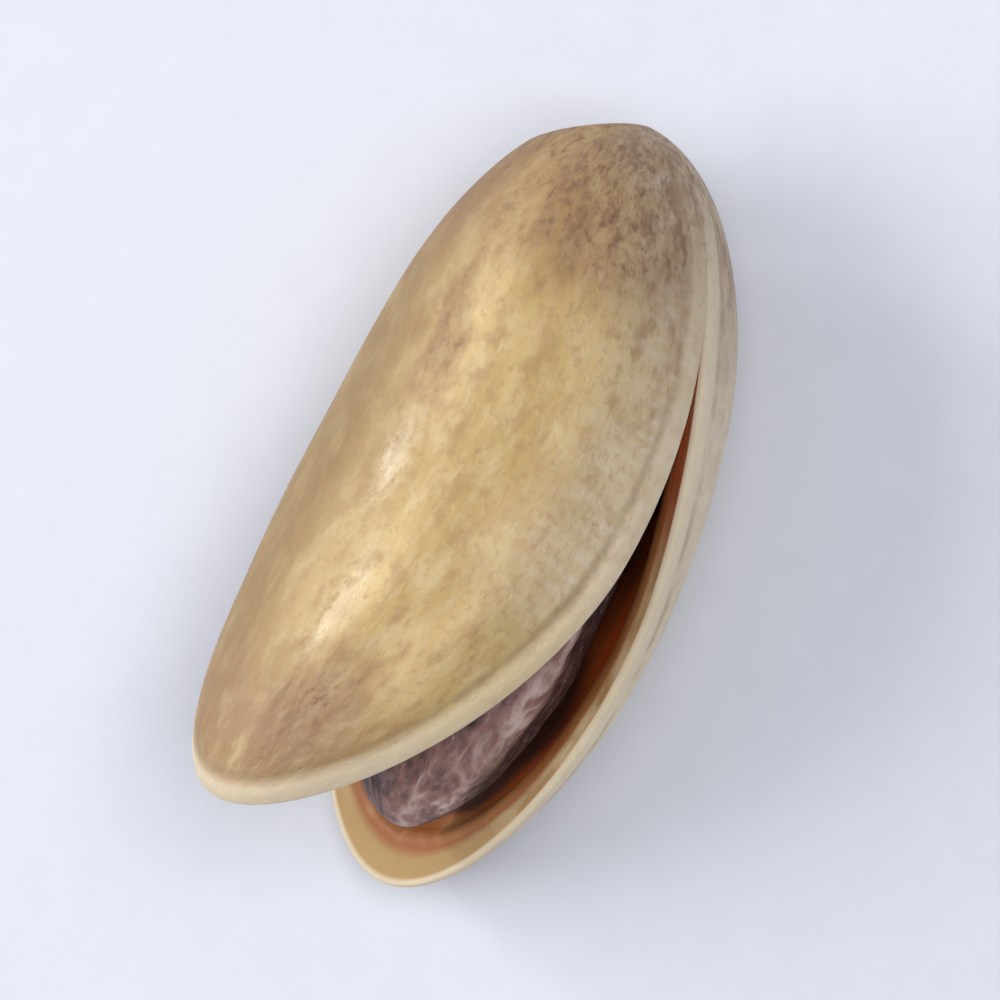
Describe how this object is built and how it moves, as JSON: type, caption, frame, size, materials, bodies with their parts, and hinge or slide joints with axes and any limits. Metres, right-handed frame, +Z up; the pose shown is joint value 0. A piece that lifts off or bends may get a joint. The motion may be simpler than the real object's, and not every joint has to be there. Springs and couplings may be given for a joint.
{
  "type": "pistachio in shell",
  "caption": "Long pistachio lying on one valve of its split shell, with the kernel showing in the gape.",
  "frame": {"origin": "centre of the bounding box in plan, level with the small flat spot that the nut rests on", "axes": "+X from the stem end to the open tip, +Y the side that the slit faces, +Z up"},
  "size_m": [0.021, 0.0106, 0.0102],
  "materials": {
    "shell": "satin",
    "kernel_skin": "matte"
  },
  "bodies": {
    "root": {"shell": "shell", "kernel": "kernel_skin"}
  },
  "joints": []
}
